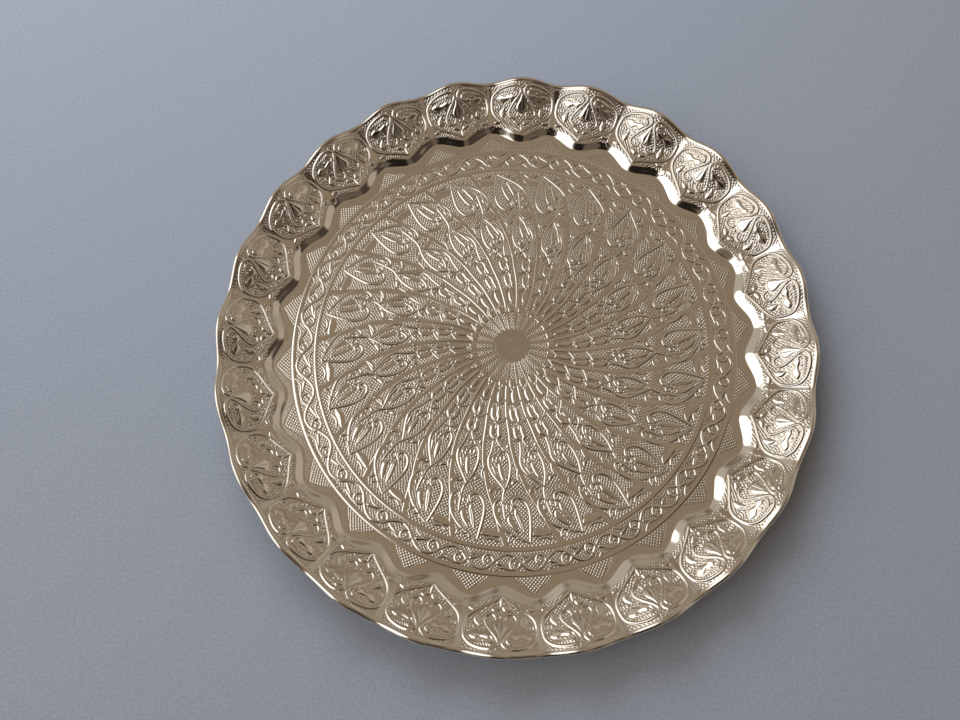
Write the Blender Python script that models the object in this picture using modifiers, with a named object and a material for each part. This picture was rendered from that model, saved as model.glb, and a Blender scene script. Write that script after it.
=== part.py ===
"""Round pressed-metal serving tray with a gadrooned wall and a wired edge.

The tray is one sheet pressed to shape: a flat round well, a wall of 24 pleats (gadroons) that climb
outwards, and an edge that is curled over a wire. Metres, +Z up. The origin is the centre of the
underside, so the tray stands on the plane z = 0. One pleat has its crest on the +X axis.
"""

import math

import bmesh
import bpy

# Driving dimensions, in metres and degrees.
RIM_DIAMETER = 0.300
SHEET_THICKNESS = 0.0005
PLEAT_COUNT = 24
WELL_RADIUS_AT_CREST = 0.1182  # where the wall leaves the flat well, on a pleat's centre line
WELL_RADIUS_AT_VALLEY = 0.1244  # the same, in the valley between two pleats
BEAD_RADIUS = 0.0014  # outside of the curled edge
BEAD_HEIGHT_AT_CREST = 0.01665  # bead centre above the well's upper face
BEAD_HEIGHT_AT_VALLEY = 0.0119
WIRE_RADIUS = 0.0006

# Wall height over the well's upper face, as (share of the way out to the bead, height), along the
# crests and along the valleys. From the last of these places the sheet runs straight into the bead.
CREST_LINE = ((0.0, 0.0), (0.20, 0.0024), (0.30, 0.0031), (0.44, 0.0048), (0.57, 0.0076),
              (0.68, 0.0106), (0.79, 0.0134), (0.905, 0.0157))
VALLEY_LINE = ((0.0, 0.0), (0.20, 0.0028), (0.30, 0.0040), (0.44, 0.0053), (0.57, 0.0067),
               (0.68, 0.0080), (0.79, 0.0096), (0.905, 0.0113))
VALLEY_HALF_SHARE = 0.055  # flat bottom of the valley, as a share of half a pleat

# How finely the solids are cut.
PLEAT_STATIONS = (-0.945, -0.5, 0.0, 0.5, 0.945)  # shares of half a pleat, across one pleat
BEAD_STEPS = 9
BEAD_START = 140.0  # direction from the bead's centre to where the wall runs into it
BEAD_END = -112.0  # direction to the sheet's cut edge, under the bead
WIRE_BEVEL_RESOLUTION = 1

RIM_RADIUS = RIM_DIAMETER / 2
BEAD_CENTRE_RADIUS = RIM_RADIUS - BEAD_RADIUS
WALL_END_RADIUS = BEAD_CENTRE_RADIUS + BEAD_RADIUS * math.cos(math.radians(BEAD_START))
PLEAT_ANGLE = 2 * math.pi / PLEAT_COUNT


def clear_scene():
    for old in list(bpy.data.objects):
        bpy.data.objects.remove(old, do_unlink=True)


def make_collection(name):
    collection = bpy.data.collections.new(name)
    bpy.context.scene.collection.children.link(collection)
    return collection


def make_material(name, colour, roughness, metallic):
    material = bpy.data.materials.new(name)
    material.use_nodes = True
    shader = material.node_tree.nodes["Principled BSDF"]
    shader.inputs["Base Color"].default_value = (*colour, 1.0)
    shader.inputs["Roughness"].default_value = roughness
    shader.inputs["Metallic"].default_value = metallic
    return material


def crest_distance(share):
    """0 on a pleat's centre line and 1 in the valley, for a place given as a share of half a pleat."""
    return min(abs(share) / (1 - VALLEY_HALF_SHARE), 1.0)


def lowering(share):
    """How far the wall has dropped from the crest line towards the valley line, 0 to 1."""
    return 0.5 - 0.5 * math.cos(math.pi * crest_distance(share))


def well_radius(share):
    """Radius of the scalloped line where the wall leaves the flat well."""
    wave = 0.5 - 0.5 * math.cos(math.pi * min(abs(share), 1.0))
    return WELL_RADIUS_AT_CREST + (WELL_RADIUS_AT_VALLEY - WELL_RADIUS_AT_CREST) * wave


def bead_height(share):
    drop = lowering(share)
    return BEAD_HEIGHT_AT_CREST + (BEAD_HEIGHT_AT_VALLEY - BEAD_HEIGHT_AT_CREST) * drop


def stations():
    """(angle, share of half a pleat) of every radial section round the tray."""
    for pleat in range(PLEAT_COUNT):
        for share in PLEAT_STATIONS:
            yield (pleat + share / 2) * PLEAT_ANGLE, share


def section(share):
    """(radius, height) points of the sheet's upper face, from the well's edge to its cut edge."""
    start = well_radius(share)
    drop = lowering(share)
    points = []
    for (out, crest), (_, valley) in zip(CREST_LINE, VALLEY_LINE):
        points.append((start + out * (WALL_END_RADIUS - start), crest + (valley - crest) * drop))
    for step in range(BEAD_STEPS + 1):
        turn = math.radians(BEAD_START + (BEAD_END - BEAD_START) * step / BEAD_STEPS)
        radius = BEAD_CENTRE_RADIUS + BEAD_RADIUS * math.cos(turn)
        points.append((radius, bead_height(share) + BEAD_RADIUS * math.sin(turn)))
    return points


def make_pressed_tray(collection):
    """The pressed sheet: its upper face is lofted through the radial sections, then thickened."""
    mesh = bpy.data.meshes.new("pressed_tray")
    work = bmesh.new()
    centre = work.verts.new((0.0, 0.0, SHEET_THICKNESS))
    rings = []
    for angle, share in stations():
        ring = []
        for radius, height in section(share):
            place = (radius * math.cos(angle), radius * math.sin(angle), SHEET_THICKNESS + height)
            ring.append(work.verts.new(place))
        rings.append(ring)
    for ring, following in zip(rings, rings[1:] + rings[:1]):
        work.faces.new((centre, ring[0], following[0]))
        for inner in range(len(ring) - 1):
            work.faces.new((ring[inner], ring[inner + 1], following[inner + 1], following[inner]))
    bmesh.ops.triangulate(work, faces=work.faces)
    work.to_mesh(mesh)
    work.free()
    tray = bpy.data.objects.new("pressed_tray", mesh)
    collection.objects.link(tray)
    thickness = tray.modifiers.new("sheet", "SOLIDIFY")
    thickness.thickness = SHEET_THICKNESS
    thickness.offset = -1.0
    thickness.use_even_offset = True
    mesh.shade_smooth()
    mesh.set_sharp_from_angle(angle=math.radians(40))
    mesh.materials.append(make_material("champagne_gold_sheet", (0.60, 0.50, 0.36), 0.22, 1.0))
    return tray


def make_rim_wire(collection):
    """The wire that the edge is curled over: one closed loop that rises and falls with the bead."""
    curve = bpy.data.curves.new("rim_wire", "CURVE")
    curve.dimensions = "3D"
    curve.bevel_depth = WIRE_RADIUS
    curve.bevel_resolution = WIRE_BEVEL_RESOLUTION
    spline = curve.splines.new("POLY")
    places = list(stations())
    spline.points.add(len(places) - 1)
    spline.use_cyclic_u = True
    for point, (angle, share) in zip(spline.points, places):
        across = BEAD_CENTRE_RADIUS * math.cos(angle)
        along = BEAD_CENTRE_RADIUS * math.sin(angle)
        point.co = (across, along, SHEET_THICKNESS + bead_height(share), 1.0)
    wire = bpy.data.objects.new("rim_wire", curve)
    collection.objects.link(wire)
    curve.materials.append(make_material("plain_steel_wire", (0.45, 0.45, 0.46), 0.45, 1.0))
    return wire


def main():
    clear_scene()
    collection = make_collection("gadrooned_tray")
    make_pressed_tray(collection)
    make_rim_wire(collection)


main()
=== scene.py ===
"""The looks of a gadrooned tray of pale gold sheet: its stamped ornament, finish, camera and light.

The ornament is laid out on a plan drawing in polar form. A place on it is (radius, angle): the radius
in drawing units, of which the tray's edge is at 288.4, and the angle in degrees, clockwise from the
crest of a pleat as seen from above. Relief heights are in millimetres above the ground.
"""

import math

import bpy
import numpy as np
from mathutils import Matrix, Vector


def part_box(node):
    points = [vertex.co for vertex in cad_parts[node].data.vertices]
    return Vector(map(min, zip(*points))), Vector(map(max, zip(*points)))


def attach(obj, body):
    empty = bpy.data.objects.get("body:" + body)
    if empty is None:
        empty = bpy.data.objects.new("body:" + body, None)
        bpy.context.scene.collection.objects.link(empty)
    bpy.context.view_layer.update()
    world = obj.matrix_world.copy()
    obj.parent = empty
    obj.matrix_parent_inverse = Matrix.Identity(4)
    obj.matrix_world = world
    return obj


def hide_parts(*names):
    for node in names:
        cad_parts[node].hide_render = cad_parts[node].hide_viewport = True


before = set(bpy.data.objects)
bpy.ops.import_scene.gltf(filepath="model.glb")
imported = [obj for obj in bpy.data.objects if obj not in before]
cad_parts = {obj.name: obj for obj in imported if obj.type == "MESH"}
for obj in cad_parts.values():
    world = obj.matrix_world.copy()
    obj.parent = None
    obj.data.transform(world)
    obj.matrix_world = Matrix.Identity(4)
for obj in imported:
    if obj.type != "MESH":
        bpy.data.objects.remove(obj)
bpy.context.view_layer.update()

# ---------------------------------------------------------------- driving sizes, in millimetres
MM = 0.001
EDGE_GAP = 0.002                         # keeps the edge just inside the box of the CAD's tray
TRAY_LOW, TRAY_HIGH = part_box("pressed_tray")
TRAY_RADIUS = (TRAY_HIGH.x - TRAY_LOW.x) / 2 / MM - EDGE_GAP
EDGE_UNITS = 288.4
UNIT = TRAY_RADIUS / EDGE_UNITS          # one drawing unit
SHEET = 0.5
PLEATS = 24
CELL = 360 / PLEATS
VINE_PERIODS = 26
VINE_CELL = 360 / VINE_PERIODS

FOOT_AT_CREST = 118.2
FOOT_AT_VALLEY = 124.4
WALL_END = 147.5
BEAD_RADIUS = 1.4
BEAD_CENTRE = TRAY_RADIUS - BEAD_RADIUS
BEAD_HEIGHT_AT_CREST = 16.58
BEAD_HEIGHT_AT_VALLEY = 11.9
BEAD_START = 140                         # degrees up from level, where the wall runs into the bead
BEAD_END = -110                          # degrees, at the free edge underneath

# (share of the way from the foot to the wall's end, height above the well's face)
CREST_LINE = ((0, 0), (0.03, 0.3), (0.17, 3.1), (0.22, 3.6), (0.31, 4.0), (0.44, 5.1), (0.57, 7.6),
              (0.68, 10.6), (0.79, 13.4), (0.905, 15.7), (1.0, 17.45))
VALLEY_LINE = ((0, 0), (0.03, 0.3), (0.18, 3.1), (0.24, 3.8), (0.32, 4.4), (0.44, 5.4), (0.57, 6.7),
               (0.68, 8.0), (0.79, 9.6), (0.905, 11.3), (1.0, 12.75))
CREST_ROUNDING = 0.05
FOOT_FILLET = 0.5

# ---------------------------------------------------------------- rings of the plan, in drawing units
ROSETTE_EDGE = 17.2
SPOKES_END = 36
SCALES_END = 96
MEDALLION_SPLIT = 143
INNER_RING = (194.2, 199.6)
OUTER_RING = (217.1, 221.9)
SPANDRELS_START = 222.4

MOAT = 0.9                               # width of the bare strip beside a raised line

# ---------------------------------------------------------------- relief heights, in millimetres
DISC_HEIGHT = 0.10
PETAL_HEIGHT = 0.14
DISC_RIM_HEIGHT = 0.11
FIRST_BAND_HEIGHT = 0.12
INNER_BAND_HEIGHT = 0.26
BAND_HEIGHT = 0.16
PLATE_HEIGHT = 0.30
SCALE_ARCH_HEIGHT = 0.30
SCALE_LOBE_HEIGHT = 0.38
LINE_HEIGHT = 0.34
LEAF_HEIGHT = 0.38
RING_HEIGHT = 0.20
STRAND_HEIGHT = 0.36
SHOOT_HEIGHT = 0.34
MARGIN_HEIGHT = 0.12
PANEL_STRAND_HEIGHT = 0.60
PANEL_CURL_HEIGHT = 0.62
PANEL_BUD_HEIGHT = 0.55
PANEL_KNOB_HEIGHT = 0.45
BRUSH_HEIGHT = 0.42
RIB_HEIGHT = 0.14
SPOKE_STIPPLE = 0.30
SCALE_STIPPLE = 0.28
MEDALLION_STIPPLE = 0.40
HATCHING_HEIGHT = 0.10
VINE_STIPPLE = 0.24
SPANDREL_STIPPLE = 0.25
PANEL_STIPPLE = 0.29


def blend(a, b, share):
    return a + (b - a) * share


def smoothstep(x, low, high):
    """0 up to low and 1 from high on, with a smooth rise between them."""
    t = np.clip((x - low) / (high - low), 0, 1)
    return t * t * (3 - 2 * t)


def through(points, x):
    """A smooth line through (x, y) points, a cubic between each two."""
    px, py = np.array(points, float).T
    slope = np.gradient(py, px)
    i = np.clip(np.searchsorted(px, x, side="right") - 1, 0, len(px) - 2)
    span = px[i + 1] - px[i]
    t = (x - px[i]) / span
    return ((2 * t**3 - 3 * t**2 + 1) * py[i] + (t**3 - 2 * t**2 + t) * span * slope[i]
            + (3 * t**2 - 2 * t**3) * py[i + 1] + (t**3 - t**2) * span * slope[i + 1])


# ---------------------------------------------------------------- drawing the relief
CURVE_STEPS = 5                          # straight pieces from one point of a curve to the next
NEIGHBOURS = 3                           # how many repeats away a line may start and still reach in
FULL_POLISH_HEIGHT = 0.12                # what stands this high, in millimetres, is polished
CUT_POLISH = 0.2                         # the share of its polish that the bottom of a cut keeps
DOT_SPREAD = 0.15                        # how far the dots run together, from 0 to 1


def on_plan(place):
    """(radius, angle, more...) to (x, y, more...) in drawing units."""
    place = np.array(place, float)
    angle = np.radians(place[..., 1])
    out = place.copy()
    out[..., 0] = place[..., 0] * np.sin(angle)
    out[..., 1] = place[..., 0] * np.cos(angle)
    return out


def curve(points, closed=False):
    """A Catmull-Rom line through the points, which may carry a half-width as a third number."""
    p = np.array(points, float)
    if closed:
        p = np.vstack((p[-1], p, p[0], p[1]))
    else:
        p = np.vstack((2 * p[0] - p[1], p, 2 * p[-1] - p[-2]))
    t = np.arange(CURVE_STEPS)[:, None] / CURVE_STEPS
    out = []
    for a, b, c, d in zip(p[:-3], p[1:-2], p[2:-1], p[3:]):
        out.append(0.5 * (2 * b + (c - a) * t + (2 * a - 5 * b + 4 * c - d) * t**2
                          + (3 * b - a - 3 * c + d) * t**3))
    if not closed:
        out.append(p[-2:-1])
    return np.vstack(out)


def turned(points, degrees):
    """Plan points turned clockwise about the tray's centre."""
    a = math.radians(degrees)
    out = points.copy()
    out[:, 0] = points[:, 0] * math.cos(a) + points[:, 1] * math.sin(a)
    out[:, 1] = points[:, 1] * math.cos(a) - points[:, 0] * math.sin(a)
    return out


def to_line(xy, line):
    """Each place's distance from a line, and the line's half-width at the nearest point."""
    nearest = np.full(len(xy), np.inf)
    width = np.ones(len(xy))
    for a, b in zip(line[:-1], line[1:]):
        way = b[:2] - a[:2]
        t = np.clip((xy - a[:2]) @ way / max(way @ way, 1e-9), 0, 1)
        gap = np.hypot(*(xy - a[:2] - t[:, None] * way).T)
        closer = gap < nearest
        nearest[closer] = gap[closer]
        if len(a) > 2:
            width[closer] = (a[2] + (b[2] - a[2]) * t)[closer]
    return nearest, width


def inside(xy, outline):
    """Whether each place is inside a closed outline."""
    x, y = xy.T
    odd = np.zeros(len(xy), bool)
    for (ax, ay), (bx, by) in zip(outline[:, :2], np.roll(outline[:, :2], -1, axis=0)):
        if ay != by:
            odd ^= ((ay > y) != (by > y)) & (x < ax + (y - ay) * (bx - ax) / (by - ay))
    return odd


class Relief:
    """The stamped height and polish over one repeat of the ornament."""

    def __init__(self, radius, angle, cell=CELL):
        self.shape = radius.shape
        self.radius = radius.ravel()
        self.angle = angle.ravel()
        self.cell = cell
        self.xy = on_plan(np.stack((self.radius, self.angle), -1))
        self.height = np.zeros(radius.size)
        self.polish = np.zeros(radius.size)
        self.moat = np.zeros(radius.size)

    def copies(self, line, reach):
        """The line in this repeat and its neighbours, each with the places that it can reach."""
        for k in range(-NEIGHBOURS, NEIGHBOURS + 1):
            copy = turned(line, k * self.cell)
            low = copy[:, :2].min(0) - reach
            high = copy[:, :2].max(0) + reach
            near = np.flatnonzero(((self.xy > low) & (self.xy < high)).all(1))
            if len(near):
                yield copy, near

    def raise_to(self, near, height, polish):
        """Raises the places to a height where they are lower, and polishes what is raised."""
        higher = height > self.height[near]
        self.height[near[higher]] = height[higher]
        rise = smoothstep(height, 0, FULL_POLISH_HEIGHT)
        self.polish[near] = blend(self.polish[near], polish, rise)

    def ridge(self, line, height, width=None, polish=1.0, flat=0.0):
        """A ridge along a line, with the half-width that its points carry or that is given.
        The flat share of it is level on top, and the rest rounds over."""
        reach = (width or line[:, 2].max()) + MOAT
        for copy, near in self.copies(line, reach):
            gap, own = to_line(self.xy[near], copy)
            own = width or own
            across = np.clip((gap / own - flat) / (1 - flat), 0, 1)
            self.raise_to(near, height * (1 - across**2) ** 0.8, polish)
            self.clear(near, gap - own)

    def clear(self, near, beyond):
        """Keeps the ground bare in a narrow moat beside what stands on it."""
        self.moat[near] = np.maximum(self.moat[near], 1 - smoothstep(beyond / MOAT, 0.3, 1.0))

    def groove(self, line, width, keep):
        """A cut along a line, which keeps a share of the height."""
        for copy, near in self.copies(line, width):
            gap, _ = to_line(self.xy[near], copy)
            self.cut(near, smoothstep(gap / width, 0.35, 1.0), keep)

    def pit(self, radius, angle, size):
        """A round hole down to the ground."""
        centre = on_plan([[radius, angle]])
        for copy, near in self.copies(centre, size):
            away = np.hypot(*(self.xy[near] - copy[0]).T) / size
            self.cut(near, smoothstep(away, 0.45, 1.0), 0.0)

    def cut(self, near, share, keep):
        """Lowers and dulls the places: fully where the share is 0, and not at all where it is 1."""
        self.height[near] *= blend(keep, 1.0, share)
        self.polish[near] *= blend(CUT_POLISH, 1.0, share)

    def pillow(self, outline, height, rim, polish=1.0, crown=0.25):
        """A leaf or plate that rounds over at its outline and is slightly crowned."""
        for copy, near in self.copies(outline, MOAT):
            ring = np.vstack((copy, copy[:1]))
            gap, _ = to_line(self.xy[near], ring[:, :2])
            gap = np.where(inside(self.xy[near], copy), gap, -gap)
            edge = 1 - (1 - np.clip(gap / rim, 0, 1)) ** 2
            deep = np.clip(gap, 0, None) / max(gap.max(), rim)
            self.raise_to(near, height * edge * (1 - crown + crown * deep), polish)
            self.clear(near, -gap)

    def knob(self, radius, angle, size, height, polish=1.0):
        """A small round boss."""
        centre = on_plan([[radius, angle]])
        for copy, near in self.copies(centre, size + MOAT):
            away = np.hypot(*(self.xy[near] - copy[0]).T)
            self.raise_to(near, height * np.sqrt(np.clip(1 - (away / size) ** 2, 0, 1)), polish)
            self.clear(near, away - size)

    def grid(self):
        return self.height.reshape(self.shape), self.polish.reshape(self.shape)


def dots(relief, across, pitch):
    """Staggered rows of round dots, 0 to 1: so many across a repeat, and a row each pitch outwards."""
    a = 2 * math.pi * across * relief.angle / relief.cell
    b = math.pi * relief.radius / pitch
    return np.clip(np.cos(a) * np.cos(b) + DOT_SPREAD, 0, 1)


def hatching(relief, lines, tilt):
    """Fine slanted lines, 0 to 1: so many across a repeat, turning with the radius by the tilt."""
    a = 2 * math.pi * (lines * relief.angle / relief.cell + tilt * relief.radius)
    return 0.5 + 0.5 * np.cos(a)


def ground(relief, pattern, height, where):
    """A fine pattern on the ground, where nothing stands higher."""
    rise = pattern * height * (1 - relief.moat)
    relief.height = np.maximum(relief.height, rise * where)


# ---------------------------------------------------------------- the ornament, ring by ring
# The middle of a swirl band, as (radius, angle), and its half-width, as (radius, half-width)
SWIRL = ((16, 4.4), (35, 4.4), (45, 4.2), (58, 3.1), (69, 2.0), (78, 0.6), (87, -0.6), (96, -1.4),
         (107, -2.8), (120, -4.5), (129, -6.1), (140, -7.8), (150, -9.6), (158.5, -11.25),
         (171, -12.9), (183.5, -14.3), (195.5, -15.8))
SWIRL_HALF_WIDTH = ((16, 0.8), (27, 1.2), (60, 1.5), (96, 1.8), (130, 2.1), (160, 2.4), (196, 2.6))
# Parts of a band: where each starts and ends, its height, and how much of its width is level
SWIRL_PARTS = ((18, 43, FIRST_BAND_HEIGHT, 0.7), (42, 100, INNER_BAND_HEIGHT, 0.3),
               (97, 197, BAND_HEIGHT, 0.65))
SWIRL_STEP = 3.0


def band_angle(radius):
    return through(SWIRL, radius)


def by_band(places):
    """Places given by their angle from the swirl band at the same radius."""
    places = np.array(places, float)
    places[:, 1] += band_angle(places[:, 0])
    return places


def swirl_bands(relief):
    """Smooth bands that spiral out from the centre: round-backed at first, then broad and flat."""
    for start, end, height, flat in SWIRL_PARTS:
        radius = np.arange(start, end, SWIRL_STEP)
        half = through(SWIRL_HALF_WIDTH, radius)
        line = on_plan(np.stack((radius, band_angle(radius), half), -1))
        relief.ridge(line, height, flat=flat)


PETAL = ((2.2, 0), (6, -10), (9.5, -7), (11, 0), (9.5, 7), (6, 10))
PETAL_PITCH = 30


def draw_rosette(relief):
    """The centre: a satin disc with a flower of twelve petals, in a scalloped ring."""
    height = DISC_HEIGHT * smoothstep(ROSETTE_EDGE - relief.radius, 0, 1.2)
    relief.height = np.maximum(relief.height, height)
    for middle in (0, PETAL_PITCH):
        petal = [(radius, middle + angle) for radius, angle in PETAL]
        relief.pillow(curve(on_plan(petal), closed=True), PETAL_HEIGHT, 1.2, 0.35)
    rim = curve(on_plan([(14.6, -7.5), (13.2, 0), (14.6, 7.5)]))
    relief.ridge(rim, DISC_RIM_HEIGHT, 0.8, 0.4)
    edge = on_plan([(ROSETTE_EDGE - 0.8, angle) for angle in (-8, -4, 0, 4, 8)])
    relief.ridge(edge, DISC_HEIGHT, 0.8, 0.5)


def draw_spokes(relief):
    """Deep stippled wedges between the bands where they start."""
    wedge = smoothstep(relief.radius, 17.5, 19) * smoothstep(SPOKES_END - relief.radius, 0, 2)
    ground(relief, dots(relief, 3, 1.7), SPOKE_STIPPLE, wedge)


def draw_plates(relief):
    """The smooth plates that close the spokes, each pointing outwards between two bands."""
    plate = on_plan(by_band([(35.2, 2.6), (35.6, 7.5), (35.2, 12.4), (40, 13), (43.2, 11), (44.6, 8.2),
                             (43.2, 5), (40, 2.0)]))
    relief.pillow(plate, PLATE_HEIGHT, 1.2, 0.8, crown=0.1)


# Each row of scales: its inner and outer radius, and the angle from a band to its scale's middle
SCALE_ROWS = ((44.5, 61.3, 8.2), (61.3, 79.1, 8.6), (79.1, 96.5, 8.7))


def draw_scales(relief):
    """Three rows of scales along the bands: a ridge each in the first, two lobes each in the others."""
    for row, (start, end, middle) in enumerate(SCALE_ROWS):
        scale_arch(relief, start, middle)
        lobes = ((middle - 0.6, 2.3),) if row == 0 else ((middle - 2.3, 2.5), (middle + 2.3, 2.6))
        for place, half in lobes:
            scale_lobe(relief, start, end, place, middle, half)
        if row:
            strip = smoothstep(relief.radius, start - 1, start + 1) * smoothstep(end - relief.radius, 0, 2)
            ground(relief, dots(relief, 7, 1.6), SCALE_STIPPLE, strip)
    for start, _, middle in SCALE_ROWS:
        relief.knob(start + 0.6, band_angle(start) + middle, 1.3, LINE_HEIGHT)
        relief.pit(start - 1.6, band_angle(start) + middle, 1.5)


def scale_arch(relief, start, middle):
    """A thin line that leaves the band and bends in over the top of a scale."""
    arch = curve(on_plan(by_band([(start - 5.5, 0.6), (start - 3.2, 2.4), (start - 0.4, 5.2),
                                  (start + 2.4, middle - 0.6), (start + 6, middle)])))
    relief.ridge(arch, SCALE_ARCH_HEIGHT, 0.7)


def scale_lobe(relief, start, end, place, middle, half):
    """A round-backed lobe that tapers to the scale's tip."""
    lobe = [(start + 2.0, blend(middle, place, 0.6), 0.5), (start + 4.5, place, 0.8 * half),
            (blend(start, end, 0.5), place, half), (end - 4.5, place, 0.8 * half),
            (end - 1.0, blend(middle, place, 0.3), 0.5)]
    relief.ridge(curve(on_plan(by_band(lobe))), SCALE_LOBE_HEIGHT, polish=0.9)


# A line's points are (radius, angle, half-width), and a leaf's outline is (radius, angle)
INNER_LINES = (
    ((114.5, 1.4, 0.8), (111.5, 1.5, 0.9), (110.4, 2.4, 0.9), (112.4, 3.3, 0.9), (115.5, 3.0, 0.7)),
    ((117.5, 5.0, 0.8), (114.2, 4.8, 0.9), (112.4, 5.8, 0.9), (114.5, 6.8, 0.9), (117.5, 6.6, 0.7)),
    ((116, 5.3, 0.8), (112.5, 4.6, 1.0), (108.5, 3.7, 1.2), (106.6, 2.2, 1.2), (107.3, 0.8, 1.2),
     (110, -0.5, 1.3), (115, -1.3, 1.4), (121, -1.7, 1.4), (130, -1.4, 1.4), (136, -0.7, 1.3),
     (141, 0.1, 1.2), (146, 0.8, 1.1), (152, 0.9, 1.1), (159, 0.6, 1.1), (165, 0.3, 1.0), (170, -0.1, 0.7)),
    ((98, 8.3, 1.0), (104, 8.2, 1.1), (109, 8.3, 1.2), (114, 8.7, 1.3), (118, 8.6, 1.4), (123, 7.8, 1.4),
     (128, 6.2, 1.4), (133, 4.2, 1.3), (138, 2.1, 1.2), (143, 0.5, 1.0)),
    ((96.5, 1.2, 0.8), (100, 2.4, 0.9), (103, 4.6, 0.9), (105, 6.6, 0.7)),
    ((96.5, 6.4, 0.8), (100, 5.0, 0.9), (103.5, 3.0, 0.9), (106.6, 1.6, 0.7)),
    ((123, -4.9, 0.7), (128, -4.5, 0.9), (132, -4.6, 0.8), (135, -5.4, 0.6)),
)
INNER_LEAVES = (
    ((117, 3.2), (121, 2.2), (128, 1.1), (135.5, 0.9), (132, 2.4), (126, 3.6), (120, 4.2)),
    ((121, 6.2), (125, 4.9), (130, 3.8), (136, 2.3), (133, 4.1), (128, 5.6), (123, 6.8)),
    ((134.2, -4.8), (132.8, -3.4), (134.5, -2.2), (138.4, -2.0), (137.2, -3.4)),
    ((137, -1.8), (138, -0.9), (141.2, -0.6), (140, -1.6)),
    ((141.5, 1.6), (139, 3.0), (138.7, 4.6), (141, 6.0), (145, 6.6), (147.6, 6.0), (145, 4.4), (143, 2.6)),
    ((99, -0.4), (100.5, 0.8), (103.5, 0.6), (102.5, -0.9)),
)
OUTER_LINES = (
    ((155.5, -4.3, 0.7), (158, -3.9, 0.9), (157.4, -2.8, 1.0), (153.8, -2.3, 1.2), (150.6, -3.2, 1.4),
     (150, -4.6, 1.4), (152, -6.2, 1.4), (156, -7.4, 1.5), (162, -8.1, 1.5), (170, -8.2, 1.5),
     (180, -7.9, 1.4), (187, -7.6, 1.2), (191.5, -7.4, 0.8)),
    ((157.5, 1.4, 0.7), (154.5, 1.3, 0.9), (152.6, 2.2, 1.2), (154, 3.2, 1.3), (158, 3.7, 1.4),
     (163, 3.6, 1.4), (169, 2.8, 1.4), (175.5, 1.2, 1.4), (181.5, -1.3, 1.4), (187, -4.4, 1.2),
     (191.5, -7.0, 0.8)),
    ((162.5, -1.9, 0.7), (159, -2.2, 0.9), (156, -1.5, 0.9), (157.4, -0.5, 0.9), (160.8, -0.6, 0.7)),
    ((190.5, -5.2, 0.7), (187.6, -4.4, 0.9), (188.6, -3.3, 0.9), (191.4, -2.8, 0.7)),
    ((183.6, -2.6, 0.6), (186.4, -1.6, 0.9), (190.5, -1.3, 0.7)),
    ((190.5, 1.8, 0.8), (188.4, 3.2, 1.1), (188.8, 4.6, 1.1), (191, 5.8, 0.7)),
)
OUTER_LEAVES = (
    ((159.8, -3.4), (164, -4.6), (170, -5.5), (177, -6.1), (183.6, -6.1), (178, -4.8), (172, -3.9),
     (165.5, -3.0)),
    ((165.5, -1.7), (170, -2.6), (176, -3.6), (183, -4.5), (180, -2.9), (175, -1.4), (170, -0.7)),
    ((186.8, 1.2), (182.5, 1.6), (179.8, 3.3), (179.4, 5.0), (181.6, 6.3), (186, 6.9), (187.2, 4.2)),
    ((158, 1.7), (162, 1.5), (166, 1.2), (163, 2.4)),
)


def draw_inner_medallions(relief):
    """The inner row: pointed hearts with two leaves inside, small leaves and a knot by their tips."""
    for line in INNER_LINES:
        relief.ridge(curve(on_plan(line)), LINE_HEIGHT)
    for leaf in INNER_LEAVES:
        relief.pillow(curve(on_plan(leaf), closed=True), LEAF_HEIGHT, 1.5, crown=0.4)
    relief.groove(curve(on_plan([(141.5, 3.4), (143.5, 4.6), (146.4, 5.4)])), 0.8, 0.3)
    relief.knob(104.6, 4.4, 1.3, 0.3)


def draw_outer_medallions(relief):
    """The outer row: larger hearts between the tips of the inner ones, and a leaf by the ring."""
    for line in OUTER_LINES:
        relief.ridge(curve(on_plan(line)), LINE_HEIGHT)
    for leaf in OUTER_LEAVES:
        relief.pillow(curve(on_plan(leaf), closed=True), LEAF_HEIGHT, 1.5, crown=0.4)
    relief.groove(curve(on_plan([(180.6, -5.6), (174, -4.9), (166, -3.8)])), 0.6, 0.5)


# Dots across a repeat, from one radius to the next
MEDALLION_DOTS = ((8, 96, 120), (10, 120, 146), (12, 146, 172), (14, 172, 197))


def medallion_ground(relief):
    """Dots behind the leaves, and slanted hatching where two rows of leaves meet."""
    between = smoothstep(relief.radius, 97, 99) * smoothstep(196 - relief.radius, 0, 1)
    hatched = smoothstep(relief.radius, 139, 142) * smoothstep(relief.radius, 156, 153)
    for count, low, high in MEDALLION_DOTS:
        own = (relief.radius >= low) & (relief.radius < high)
        where = between * own * (1 - 0.35 * hatched)
        ground(relief, dots(relief, count, 1.75), MEDALLION_STIPPLE, where)
    ground(relief, hatching(relief, 12, 0.5), HATCHING_HEIGHT, hatched)


def ring(relief, start, end):
    """A raised ring, level on top, with soft shoulders."""
    across = np.abs(relief.radius - (start + end) / 2) / ((end - start) / 2)
    height = RING_HEIGHT * (1 - smoothstep(across, 0.45, 1.0))
    relief.raise_to(np.arange(len(relief.radius)), height, 0.8)


def draw_rings(relief):
    ring(relief, *INNER_RING)
    ring(relief, *OUTER_RING)


WELL_ORNAMENT = (swirl_bands, draw_plates, draw_scales, draw_inner_medallions,
                 draw_outer_medallions, medallion_ground, draw_rings)

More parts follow.
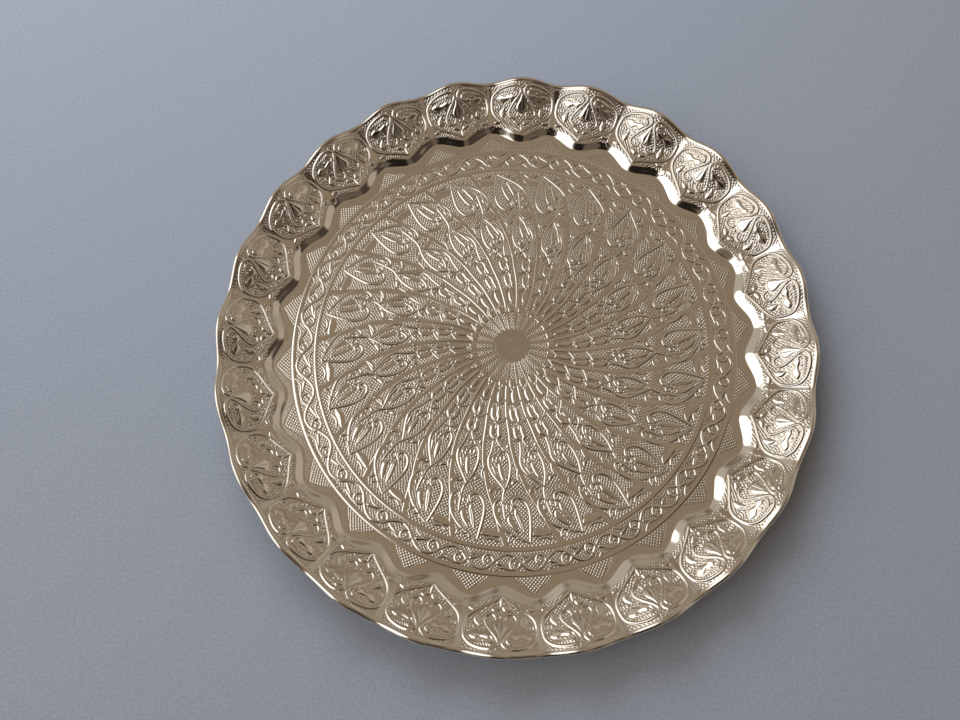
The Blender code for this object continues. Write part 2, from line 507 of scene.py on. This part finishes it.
VINE_MIDDLE = 209
VINE_STRAND = ((201.5, -6.4, 1.3), (203.4, -4.8, 1.4), (209.0, -2.8, 1.4), (214.3, -1.3, 1.4),
               (216.4, 0.4, 1.3), (214.4, 2.2, 1.4), (209.0, 4.1, 1.4), (203.6, 5.7, 1.4),
               (201.5, 7.4, 1.3))
VINE_CURL = ((214.0, -1.9, 0.7), (210.6, -2.75, 1.0), (206.2, -2.65, 1.1), (202.9, -1.6, 1.0),
             (204.4, -0.45, 0.9), (208.8, -0.2, 0.9), (212.0, -0.9, 0.8), (212.8, -1.7, 0.5))
VINE_TENDRIL = ((202.9, -1.6, 0.8), (202.6, -0.3, 0.9), (203.8, 1.2, 1.0), (203.9, 2.4, 0.9),
                (201.6, 3.6, 0.7), (199.8, 4.0, 0.4))
VINE_LEAF = ((203.6, -0.1), (204.0, 1.0), (205.6, 2.3), (207.4, 3.3), (210.0, 3.2), (208.4, 1.9),
             (206.2, 0.7))
VINE_KNOB = (208.4, -1.6)


def across_vine(places):
    """The same places on the other side of the border's middle, half a repeat further."""
    return [(2 * VINE_MIDDLE - place[0], place[1] + VINE_CELL / 2, *place[2:]) for place in places]


def draw_vine(relief):
    """The border between the rings: a waved strand with a curled shoot and a leaf in each bend."""
    relief.ridge(curve(on_plan(VINE_STRAND)), STRAND_HEIGHT)
    for curl, tendril, leaf in ((VINE_CURL, VINE_TENDRIL, VINE_LEAF),
                                map(across_vine, (VINE_CURL, VINE_TENDRIL, VINE_LEAF))):
        relief.pillow(curve(on_plan(leaf), closed=True), STRAND_HEIGHT, 1.3, crown=0.4)
        relief.ridge(curve(on_plan(tendril)), SHOOT_HEIGHT)
        relief.ridge(curve(on_plan(curl)), SHOOT_HEIGHT)
    for radius, angle in (VINE_KNOB, *across_vine([VINE_KNOB])):
        relief.knob(radius, angle, 1.5, VINE_STIPPLE, 0.6)
    inner, outer = INNER_RING[1] - 0.4, OUTER_RING[0] + 0.3
    margin = smoothstep(relief.radius, inner, inner + 1) * smoothstep(outer - relief.radius, 0, 1)
    ground(relief, dots(relief, 16, 1.7), VINE_STIPPLE, margin)


# The die's maker spaced the border's repeats unevenly: (angle, how far the repeat there is shifted)
VINE_DRIFT = ((-80, 0.2), (-16, 0), (30, -1.8), (91, -3.6), (150, -5.6), (198, -7.5), (229, -4.4),
              (260, -0.9), (280, 0.2))
VINE_PHASE = -14.8


def vine_place(angle):
    """The angle at which a place of the evenly spaced border lies."""
    first = VINE_DRIFT[0][0]
    turn = np.mod(angle + VINE_PHASE - first, 360) + first
    return turn + through(VINE_DRIFT, turn)


SPANDREL_TIP = 236.4
SPANDREL_DEPTH = 25.667
SPANDREL_ROUNDING = 0.06


def spandrel_edge(angle):
    """The outline of the dotted triangles: inside the ring at a crest, far out at a rib."""
    share = np.hypot(1 - np.abs(angle) / (CELL / 2), SPANDREL_ROUNDING) - SPANDREL_ROUNDING
    return SPANDREL_TIP - SPANDREL_DEPTH * share


def draw_spandrels(relief):
    """Diamond-grid dots between the outer ring and a smooth margin along the foot of the pleats."""
    start = OUTER_RING[1]
    edge = spandrel_edge(relief.angle)
    field = smoothstep(edge - relief.radius, 0, 0.9) * smoothstep(relief.radius, start, start + 0.7)
    beads = np.clip(dots(relief, 17, 1.8) * 1.15, 0, 1)
    ground(relief, beads, SPANDREL_STIPPLE, field)
    relief.polish = np.maximum(relief.polish, 0.75 * smoothstep(relief.radius - edge, 0, 1.0))
    margin = smoothstep(relief.radius - edge, 0.3, 1.6) * smoothstep(relief.radius, start, start + 1.3)
    relief.height = np.maximum(relief.height, MARGIN_HEIGHT * margin)


# A pleat's panel is drawn on (share of the way out, angle, half-width), from its inner to its outer end
PANEL_START = 239.0
PANEL_END = 282.0
PANEL_HALF_ANGLE = 6.95
HEART_STRAND = ((0.00, 0.0, 0.9), (0.08, -1.3, 1.1), (0.18, -3.0, 1.2), (0.30, -5.0, 1.3),
                (0.42, -6.4, 1.3), (0.55, -6.95, 1.3), (0.70, -6.95, 1.3), (0.83, -6.6, 1.3),
                (0.92, -5.5, 1.3), (0.955, -4.2, 1.2), (0.965, -2.7, 1.2), (0.94, -1.2, 1.2),
                (0.87, -0.45, 1.1), (0.80, -0.5, 1.1), (0.72, -1.1, 1.1), (0.62, -2.1, 1.1),
                (0.52, -2.9, 1.1), (0.43, -3.1, 1.1), (0.36, -2.6, 1.1), (0.34, -1.8, 1.0),
                (0.38, -1.1, 1.0), (0.44, -0.95, 0.8))
PANEL_CURL = ((0.88, -2.1, 0.9), (0.84, -1.4, 1.0), (0.78, -1.3, 1.0), (0.74, -1.8, 0.9), (0.77, -2.3, 0.8))
PANEL_BUD = ((0.03, 0, 0.6), (0.11, 0, 1.5), (0.19, 0, 0.6))
# Half of the panel's leaves: the outline, and its height in millimetres
PANEL_LEAVES = (
    (((0.79, -5.8), (0.70, -5.2), (0.66, -4.3), (0.70, -3.3), (0.65, -2.6), (0.70, -1.6), (0.76, -1.5),
      (0.79, -2.4), (0.78, -3.6), (0.83, -4.8)), 0.58),
    (((0.36, -4.6), (0.44, -5.3), (0.53, -5.1), (0.60, -4.0), (0.53, -4.0), (0.44, -3.9)), 0.52),
    (((0.20, -1.4), (0.26, -2.1), (0.30, -1.3), (0.28, -0.5), (0.20, -0.2), (0.17, -0.8)), 0.52),
    (((0.46, -0.5), (0.50, -1.3), (0.58, -1.3), (0.68, -0.6), (0.79, 0.05), (0.48, 0.15)), 0.55),
    (((0.24, -6.7), (0.22, -5.9), (0.23, -5.2), (0.27, -5.0), (0.32, -5.6), (0.31, -6.2),
      (0.29, -6.7)), 0.45),
)
# Small knobs between the leaves, on both sides: (share of the way out, angle, radius)
PANEL_KNOBS = ((0.82, 3.1, 0.9), (0.70, 6.1, 0.8), (0.60, 3.1, 0.8), (0.30, 3.6, 0.9), (0.24, 3.0, 0.8),
               (0.47, 2.1, 0.7), (0.65, 1.3, 0.7), (0.96, 0.7, 0.8))


def on_panel(places):
    """Panel places as places on the plan."""
    return [(blend(PANEL_START, PANEL_END, place[0]), *place[1:]) for place in places]


def mirrored(places):
    """The same places on the other side of the pleat's crest."""
    return [(place[0], -place[1], *place[2:]) for place in places]


def draw_panel(relief):
    """One pleat's panel: two strands that make a heart in a larger heart, filled with leaves."""
    for side in (list, mirrored):
        for leaf, height in PANEL_LEAVES:
            relief.pillow(curve(on_plan(on_panel(side(leaf))), closed=True), height, 1.6, crown=0.4)
        relief.ridge(curve(on_plan(on_panel(side(PANEL_CURL)))), PANEL_CURL_HEIGHT)
        relief.ridge(curve(on_plan(on_panel(side(HEART_STRAND)))), PANEL_STRAND_HEIGHT)
    relief.ridge(on_plan(on_panel(PANEL_BUD)), PANEL_BUD_HEIGHT)
    relief.knob(blend(PANEL_START, PANEL_END, 0.39), 0, 1.2, PANEL_STRAND_HEIGHT)
    for middle in (-3.6, 3.6):
        brush(relief, 0.87, 0.90, middle, 3.8, 8)
        brush(relief, 0.58, 0.63, middle * 1.6, 1.3, 3)
    for out, away, size in PANEL_KNOBS:
        for side in (-1, 1):
            relief.knob(blend(PANEL_START, PANEL_END, out), side * away, size, PANEL_KNOB_HEIGHT)


def brush(relief, start, end, middle, spread, count):
    """A row of short strokes that fan out a little."""
    for share in np.linspace(-0.5, 0.5, count):
        stroke = on_panel([(start, middle + spread * share * 0.8), (end, middle + spread * share)])
        relief.ridge(on_plan(stroke), BRUSH_HEIGHT, 0.7)


# Where the smooth foot of a pleat ends and its panel starts: (angle from the crest, radius)
PANEL_TOP = ((0, 238.3), (2, 240.2), (3.5, 242.6), (5.5, 244.8), (7.5, 246.0))
RIB = ((247, CELL / 2), (258, CELL / 2), (282, CELL / 2))


def panel_ground(relief):
    """The stippled ground of the panel, and the smooth ribs between two panels."""
    top = through(PANEL_TOP, np.abs(relief.angle))
    panel = smoothstep(relief.radius - top, 0.4, 0.8)
    panel *= smoothstep(PANEL_END + 1.4 - relief.radius, 0, 1.0)
    panel *= smoothstep(PANEL_HALF_ANGLE - np.abs(relief.angle), 0, 0.2)
    ground(relief, dots(relief, 21, 1.7), PANEL_STIPPLE, panel)
    relief.ridge(on_plan(RIB), RIB_HEIGHT, 3.1, flat=0.7)
    relief.height *= smoothstep(PANEL_END + 1.0 - relief.radius, 0, 0.9)
    relief.polish = np.maximum(relief.polish, 1 - panel)


def half_polished(relief):
    """The bead, which has no ornament."""
    relief.polish[:] = 0.5


# ---------------------------------------------------------------- the base shape
def foot_radius(angle):
    """The pleats' foot line, which waves out and in."""
    share = np.abs(angle) / (CELL / 2)
    return blend(FOOT_AT_CREST, FOOT_AT_VALLEY, 0.5 - 0.5 * np.cos(math.pi * share))


def lowering(angle, out):
    """How far down from the crest line to the valley line the wall is, 0 to 1.
    A pleat is a wedge with a crisp crest low on the wall, and a soft wave at the edge."""
    share = np.hypot(angle / (CELL / 2), CREST_ROUNDING)
    share = (share - CREST_ROUNDING) / (math.hypot(1, CREST_ROUNDING) - CREST_ROUNDING)
    wedge = np.sin(math.pi / 2 * share)
    wave = 0.5 - 0.5 * np.cos(math.pi * share)
    return blend(wedge, wave, smoothstep(out, 0.45, 0.8))


def wall_height(angle, out):
    """The wall's height between the crest line and the valley line, rounded over at its foot."""
    low = lowering(angle, out)
    height = blend(through(CREST_LINE, out), through(VALLEY_LINE, out), low)
    fillet = FOOT_FILLET * (1 - out) ** 3
    return np.sqrt(height**2 + fillet**2) - fillet


def bead_height(angle):
    return blend(BEAD_HEIGHT_AT_CREST, BEAD_HEIGHT_AT_VALLEY, lowering(angle, 1.0))


# A surface gives the radius and height, in millimetres, at an angle and a row
def floor_surface(angle, row):
    """The flat well: the row is the radius in drawing units."""
    return row * UNIT, np.zeros_like(angle)


def spandrel_surface(angle, row):
    """The flat margin: the row runs from the outer ring to the foot of the pleats."""
    return blend(SPANDRELS_START * UNIT, foot_radius(angle), row), np.zeros_like(row)


def wall_surface(angle, row):
    """The pleats: the row runs from their foot to the bead."""
    return blend(foot_radius(angle), WALL_END, row), wall_height(angle, row)


def bead_surface(angle, row):
    """The curl: the row runs from the wall's end, over the top, to the free edge underneath."""
    turn = np.radians(blend(BEAD_START, BEAD_END, row))
    radius = BEAD_CENTRE + BEAD_RADIUS * np.cos(turn)
    return radius, bead_height(angle) + BEAD_RADIUS * np.sin(turn)


# ---------------------------------------------------------------- meshes
MAX_TRIANGLES = 190_000
TRIANGLES_PER_POINT = 2.5                # two on the upper face, and half of one on the underside


class Zone:
    """A ring of the tray: its surface, the rows and columns of its grid, and what is drawn on it."""

    def __init__(self, name, surface, rows, columns, draw, cell=CELL, pole=False, place=None):
        self.name = name
        self.surface = surface
        self.rows = np.asarray(rows, float)
        self.columns = columns
        self.draw = draw
        self.cell = cell
        self.pole = pole
        self.place = place or (lambda angle: angle)

    def cell_grid(self):
        """Angle, base radius and height, relief and polish over one repeat, with a spare row each end."""
        first = 2 * self.rows[0] - self.rows[1]
        last = 2 * self.rows[-1] - self.rows[-2]
        rows = np.concatenate(([first], self.rows, [last]))
        angles = (np.arange(self.columns) / self.columns - 0.5) * self.cell
        row, angle = np.meshgrid(rows, angles, indexing="ij")
        radius, height = self.surface(angle, row)
        relief = Relief(radius / UNIT, angle, self.cell)
        for draw in self.draw:
            draw(relief)
        stamped, polish = relief.grid()
        return angle, radius, height, stamped, polish


def around(zone, angle, radius, height, repeats):
    """One repeat's polar grid as points all round the tray."""
    turns = angle[:, None, :] + np.arange(repeats)[None, :, None] * zone.cell
    a = np.radians(zone.place(turns.reshape(len(angle), -1)))
    r = np.tile(radius, (1, repeats))
    z = np.tile(height, (1, repeats)) + SHEET
    return np.stack((r * np.sin(a), r * np.cos(a), z), -1)


def grid_normals(points):
    """Unit normals of a grid that closes on itself along its columns."""
    out = np.gradient(points, axis=0)
    along = np.roll(points, -1, axis=1) - np.roll(points, 1, axis=1)
    normal = np.cross(along, out)
    return normal / np.maximum(np.linalg.norm(normal, axis=-1, keepdims=True), 1e-12)


def quads(rows, columns, closed, start=0):
    """Faces of a grid, counter-clockwise as seen from above."""
    index = start + np.arange(rows * columns).reshape(rows, columns)
    if closed:
        index = np.hstack((index, index[:, :1]))
    a, b, c, d = index[:-1, :-1], index[:-1, 1:], index[1:, 1:], index[1:, :-1]
    return index, np.stack((a, b, c, d), -1).reshape(-1, 4)


def rim_faces(fine, coarse):
    """Five-sided faces that join a fine edge to an edge with half as many steps."""
    return np.stack((fine[:-2:2], fine[1:-1:2], fine[2::2], coarse[1:], coarse[:-1]), -1)


def edge_faces(over, low, closed, hub):
    """Faces that close a shell along its edges, with two fans in place of the inner edge at a hub."""
    parts = [rim_faces(over[-1], low[-1]).tolist()]
    if hub is None:
        parts.append(rim_faces(over[0], low[0])[:, ::-1].tolist())
    else:
        parts.append([(hub, b, a) for a, b in zip(over[0][:-1], over[0][1:])])
        parts.append([(hub + 1, a, b) for a, b in zip(low[0][:-1], low[0][1:])])
    if not closed:
        parts.append(rim_faces(over[:, 0], low[:, 0]).tolist())
        parts.append(rim_faces(over[:, -1], low[:, -1])[:, ::-1].tolist())
    return parts


def shell(name, top, normal, polish, closed, pole):
    """A closed shell of sheet metal: a fine upper face, and an underside with half the steps."""
    under = top[::2, ::2] - SHEET * normal[::2, ::2]
    under[..., 2] = np.maximum(under[..., 2], 0.0)
    points = np.vstack((top.reshape(-1, 3), under.reshape(-1, 3)))
    values = np.concatenate((polish.ravel(), polish[::2, ::2].ravel()))
    hub = len(points) if pole else None
    if pole:
        points = np.vstack((points, [[0, 0, top[0, 0, 2]], [0, 0, under[0, 0, 2]]]))
        values = np.append(values, (polish[0, 0], polish[0, 0]))
    over, faces = quads(*top.shape[:2], closed)
    low, low_faces = quads(*under.shape[:2], closed, start=over.max() + 1)
    parts = [faces.tolist(), low_faces[:, ::-1].tolist(), *edge_faces(over, low, closed, hub)]
    mesh = bpy.data.meshes.new(name)
    mesh.from_pydata((points * MM).tolist(), [], [face for part in parts for face in part])
    mesh.attributes.new("polish", "FLOAT", "POINT").data.foreach_set("value", values.astype(np.float32))
    mesh.shade_smooth()
    smooth_normals(mesh, normal, pole)
    return mesh


def smooth_normals(mesh, normal, pole):
    """Normals taken from the surface itself, so that no seam shows between two pieces."""
    own = [normal.reshape(-1, 3), -normal[::2, ::2].reshape(-1, 3)]
    if pole:
        own.append([[0, 0, 1], [0, 0, -1]])
    mesh.normals_split_custom_set_from_vertices(np.vstack(own).tolist())


def build_zone(zone, material):
    """One or more pieces for a zone, each below the triangle limit."""
    angle, radius, height, stamped, polish = zone.cell_grid()
    repeats = round(360 / zone.cell)
    base = around(zone, angle, radius, height, repeats)
    lift = np.tile(stamped, (1, repeats))[..., None]
    points = base + lift * grid_normals(base)
    normal = grid_normals(points)[1:-1]
    points = points[1:-1]
    shine = np.tile(polish, (1, repeats))[1:-1]
    triangles = TRIANGLES_PER_POINT * points.shape[0] * points.shape[1]
    pieces = math.ceil(triangles / MAX_TRIANGLES)
    for k in range(pieces):
        name = zone.name if pieces == 1 else f"{zone.name}_{k + 1}"
        if pieces == 1:
            chosen = np.arange(points.shape[1])
        else:
            ends = [round(repeats * j / pieces) * zone.columns for j in (k, k + 1)]
            chosen = np.arange(ends[0], ends[1] + 1) % points.shape[1]
        mesh = shell(name, points[:, chosen], normal[:, chosen], shine[:, chosen], pieces == 1, zone.pole)
        add_piece(mesh, name, material)


def add_piece(mesh, name, material):
    mesh.materials.append(material)
    piece = bpy.data.objects.new(name, mesh)
    bpy.context.scene.collection.objects.link(piece)
    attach(piece, "root")
    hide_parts("pressed_tray")


def steps(start, end, count):
    """Rows from start to end; the count is even, so that the underside takes each second one."""
    return np.linspace(start, end, 2 * round(count / 2) + 1)


def build_tray(material):
    """The tray, ring by ring: each zone's rows, the columns of a repeat, and its ornament."""
    ring_top = sum(INNER_RING) / 2
    zones = (
        Zone("well_rosette", floor_surface, steps(0.6, SPOKES_END, 76), 20,
             (draw_rosette, draw_plates, swirl_bands, draw_spokes), pole=True),
        Zone("well_scales", floor_surface, steps(SPOKES_END, SCALES_END, 116), 44, WELL_ORNAMENT),
        Zone("well_inner_leaves", floor_surface, steps(SCALES_END, MEDALLION_SPLIT, 90), 70,
             WELL_ORNAMENT),
        Zone("well_outer_leaves", floor_surface, steps(MEDALLION_SPLIT, ring_top, 102), 92,
             WELL_ORNAMENT),
        Zone("well_vine_border", floor_surface, steps(ring_top, SPANDRELS_START, 50), 90,
             (draw_vine, draw_rings), cell=VINE_CELL, place=vine_place),
        Zone("well_spandrels", spandrel_surface, steps(0, 1, 40), 112, (draw_spandrels,)),
        Zone("pleated_wall", wall_surface, steps(0, 1, 112), 120, (draw_panel, panel_ground)),
        Zone("rolled_edge", bead_surface, steps(0, 1, 32), 80, (half_polished,)),
    )
    for zone in zones:
        build_zone(zone, material)


# ---------------------------------------------------------------- materials
def new_material(name):
    material = bpy.data.materials.new(name)
    material.use_nodes = True
    return material, material.node_tree.nodes, material.node_tree.links


def add_noise(nodes, links, where, scale, detail=3.0):
    node = nodes.new("ShaderNodeTexNoise")
    node.inputs["Scale"].default_value = scale
    node.inputs["Detail"].default_value = detail
    links.new(where, node.inputs["Vector"])
    return node.outputs["Fac"]


def add_range(nodes, links, value, low, high, new_low, new_high):
    node = nodes.new("ShaderNodeMapRange")
    links.new(value, node.inputs["Value"])
    for name, number in (("From Min", low), ("From Max", high), ("To Min", new_low), ("To Max", new_high)):
        node.inputs[name].default_value = number
    return node.outputs["Result"]


def add_math(nodes, links, kind, a, b):
    node = nodes.new("ShaderNodeMath")
    node.operation = kind
    for socket, value in zip(node.inputs, (a, b)):
        if isinstance(value, (int, float)):
            socket.default_value = value
        else:
            links.new(value, socket)
    return node.outputs["Value"]


def add_mix(nodes, links, share, a, b):
    node = nodes.new("ShaderNodeMix")
    node.data_type = "RGBA"
    links.new(share, node.inputs["Factor"])
    for socket, colour in ((node.inputs["A"], a), (node.inputs["B"], b)):
        if isinstance(colour, tuple):
            socket.default_value = (*colour, 1)
        else:
            links.new(colour, socket)
    return node.outputs["Result"]


def add_bump(nodes, links, height, strength, distance):
    node = nodes.new("ShaderNodeBump")
    node.inputs["Strength"].default_value = strength
    node.inputs["Distance"].default_value = distance
    links.new(height, node.inputs["Height"])
    return node.outputs["Normal"]


GOLD_DEEP = (0.86, 0.80, 0.71)
GOLD_PALE = (0.92, 0.87, 0.79)
GOLD_DULL = (0.74, 0.67, 0.57)           # on the stippled ground
SATIN_ROUGHNESS = 0.24
MIRROR_ROUGHNESS = 0.11
GRAIN_DEPTH = 0.06 * MM
STEEL_DARK = (0.38, 0.38, 0.39)
STEEL_PALE = (0.55, 0.55, 0.56)
PAPER_DARK = (0.26, 0.285, 0.33)
PAPER_PALE = (0.47, 0.50, 0.56)
PAPER_CLOUD = (0.375, 0.405, 0.455)
FELT_DEPTH = 0.2 * MM


def gold_material():
    """Pale champagne gold: mirror-bright where the die was polished, satin on its stippled ground."""
    material, nodes, links = new_material("champagne_gold")
    shader = nodes["Principled BSDF"]
    where = nodes.new("ShaderNodeTexCoord").outputs["Object"]
    polish = nodes.new("ShaderNodeAttribute")
    polish.attribute_name = "polish"
    shine = polish.outputs["Fac"]
    drift = add_noise(nodes, links, where, 18)
    fine = add_noise(nodes, links, where, 900, 2)
    tone = add_mix(nodes, links, drift, GOLD_DEEP, GOLD_PALE)
    dull = add_range(nodes, links, shine, 0, 1, 0.75, 0)
    colour = add_mix(nodes, links, dull, tone, GOLD_DULL)
    satin = add_range(nodes, links, shine, 0, 1, SATIN_ROUGHNESS, MIRROR_ROUGHNESS)
    rub = add_range(nodes, links, drift, 0.3, 0.7, -0.02, 0.02)
    grain = add_range(nodes, links, fine, 0.3, 0.7, -0.02, 0.02)
    rough = add_math(nodes, links, "ADD", satin, add_math(nodes, links, "ADD", rub, grain))
    links.new(colour, shader.inputs["Base Color"])
    links.new(rough, shader.inputs["Roughness"])
    links.new(add_bump(nodes, links, fine, 0.12, GRAIN_DEPTH), shader.inputs["Normal"])
    shader.inputs["Metallic"].default_value = 1.0
    return material


def wire_material():
    """Drawn steel wire, with darker and duller spots."""
    material, nodes, links = new_material("drawn_steel")
    shader = nodes["Principled BSDF"]
    where = nodes.new("ShaderNodeTexCoord").outputs["Object"]
    spots = add_noise(nodes, links, where, 300)
    colour = add_mix(nodes, links, spots, STEEL_DARK, STEEL_PALE)
    rough = add_range(nodes, links, spots, 0.3, 0.7, 0.28, 0.5)
    links.new(colour, shader.inputs["Base Color"])
    links.new(rough, shader.inputs["Roughness"])
    shader.inputs["Metallic"].default_value = 1.0
    return material


def paper_material():
    """Pale blue-grey paper with a faint felt grain."""
    material, nodes, links = new_material("grey_paper")
    shader = nodes["Principled BSDF"]
    where = nodes.new("ShaderNodeTexCoord").outputs["Object"]
    felt = add_noise(nodes, links, where, 700, 4)
    cloud = add_noise(nodes, links, where, 6)
    grain = add_mix(nodes, links, felt, PAPER_DARK, PAPER_PALE)
    share = add_range(nodes, links, cloud, 0.3, 0.7, 0, 0.3)
    links.new(add_mix(nodes, links, share, grain, PAPER_CLOUD), shader.inputs["Base Color"])
    links.new(add_bump(nodes, links, felt, 0.5, FELT_DEPTH), shader.inputs["Normal"])
    shader.inputs["Roughness"].default_value = 0.9
    return material


# ---------------------------------------------------------------- floor, light and camera, in metres
FLOOR_RADIUS = 8.0
FLOOR_DROP = 0.0002


def build_floor():
    bpy.ops.mesh.primitive_circle_add(vertices=256, radius=FLOOR_RADIUS, fill_type="NGON",
                                      location=(0, 0, -FLOOR_DROP))
    floor = bpy.context.object
    floor.name = "paper_floor"
    floor.data.materials.append(paper_material())


def lobe(nodes, links, direction, centre, start, end):
    """1 where the view into the room points along a direction, fading to 0 away from it."""
    dot = nodes.new("ShaderNodeVectorMath")
    dot.operation = "DOT_PRODUCT"
    links.new(direction, dot.inputs[0])
    dot.inputs[1].default_value = centre
    node = nodes.new("ShaderNodeMapRange")
    node.interpolation_type = "SMOOTHSTEP"
    links.new(dot.outputs["Value"], node.inputs["Value"])
    node.inputs["From Min"].default_value = start
    node.inputs["From Max"].default_value = end
    return node.outputs["Result"]


def toward(azimuth, elevation):
    """The direction at an azimuth, clockwise from +Y, and an elevation, both in degrees."""
    a, e = math.radians(azimuth), math.radians(elevation)
    return Vector((math.sin(a) * math.cos(e), math.cos(a) * math.cos(e), math.sin(e)))


# Parts of the room: azimuth and elevation, cosines where each fades in and is full, and its light
ROOM_BASE = (0.16, 0.122, 0.09)
ROOM_PARTS = (
    ((0, 90), 0.60, 0.95, (0.262, 0.205, 0.148)),
    ((15, 28), 0.80, 0.95, (0.33, 0.285, 0.23)),
    ((50, 14), 0.84, 0.96, (0.33, 0.285, 0.23)),
    ((85, 3), 0.62, 0.86, (0.43, 0.375, 0.31)),
    ((300, 20), 0.72, 0.92, (0.45, 0.405, 0.355)),
    ((158, 25), 0.80, 0.93, (0.125, 0.098, 0.078)),
    ((112, 42), 0.91, 0.97, (0.060, 0.045, 0.035)),
    ((181, 10), 0.92, 0.97, (0.025, 0.018, 0.015)),
    ((190, 45), 0.93, 0.965, (0.015, 0.012, 0.010)),
)
WINDOW_DISTANCE = 1.28
WINDOW_SIZE = (1.95, 3.1)
WINDOW_SHIFT = -0.31
WINDOW_SILL = 0.22
WINDOW_RADIANCE = 1.3
WINDOW_COLOUR = (0.92, 0.955, 1.0)


def build_room():
    """Soft room light: warm walls, a paler ceiling and a dark side towards the viewer."""
    world = bpy.data.worlds.new("soft_room")
    world.use_nodes = True
    bpy.context.scene.world = world
    nodes, links = world.node_tree.nodes, world.node_tree.links
    direction = nodes.new("ShaderNodeTexCoord").outputs["Generated"]
    colour = ROOM_BASE
    for (azimuth, elevation), start, end, tone in ROOM_PARTS:
        share = lobe(nodes, links, direction, toward(azimuth, elevation), start, end)
        colour = add_mix(nodes, links, share, colour, tone)
    links.new(colour, nodes["Background"].inputs["Color"])
    nodes["Background"].inputs["Strength"].default_value = 1.0


def add_area_light(name, size, radiance, colour, place):
    """A rectangle of light with an even radiance, out of the camera's sight."""
    width, height = size
    light = bpy.data.lights.new(name, "AREA")
    light.shape = "RECTANGLE"
    light.size = width
    light.size_y = height
    light.energy = radiance * math.pi * width * height
    light.color = colour
    lamp = bpy.data.objects.new(name, light)
    bpy.context.scene.collection.objects.link(lamp)
    lamp.location = place
    lamp.visible_camera = False
    return lamp


def build_window():
    """A tall window on the left, as one soft rectangle of daylight."""
    place = (-WINDOW_DISTANCE, WINDOW_SHIFT, WINDOW_SILL + WINDOW_SIZE[1] / 2)
    lamp = add_area_light("window", WINDOW_SIZE, WINDOW_RADIANCE, WINDOW_COLOUR, place)
    lamp.rotation_euler = (math.radians(90), 0, math.radians(-90))


SKY_PLACE = (-0.42, 0.78, 0.62)
SKY_SIZE = (1.0, 0.5)
SKY_RADIANCE = 5.6
SKY_COLOUR = (0.76, 0.87, 1.0)


def build_sky():
    """A weak cool light from the far side, which the metal doesn't mirror."""
    lamp = add_area_light("sky", SKY_SIZE, SKY_RADIANCE, SKY_COLOUR, SKY_PLACE)
    lamp.rotation_euler = (-Vector(SKY_PLACE)).to_track_quat("-Z", "Y").to_euler()
    lamp.visible_glossy = False


CAMERA_PLACE = (-0.0013, -0.1057, 0.3545)
CAMERA_TILT = (15.43, 1.61, 2.98)
CAMERA_LENS = 26.6
SENSOR_WIDTH = 36


def build_camera():
    data = bpy.data.cameras.new("camera")
    data.lens = CAMERA_LENS
    data.sensor_width = SENSOR_WIDTH
    data.clip_start = 0.01
    camera = bpy.data.objects.new("camera", data)
    bpy.context.scene.collection.objects.link(camera)
    camera.location = CAMERA_PLACE
    camera.rotation_euler = [math.radians(a) for a in CAMERA_TILT]
    bpy.context.scene.camera = camera
    bpy.context.scene.view_settings.view_transform = "Standard"


def finish_wire():
    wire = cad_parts["rim_wire"]
    wire.data.materials.clear()
    wire.data.materials.append(wire_material())


build_tray(gold_material())
finish_wire()
build_floor()
build_room()
build_window()
build_sky()
build_camera()
bpy.context.view_layer.update()
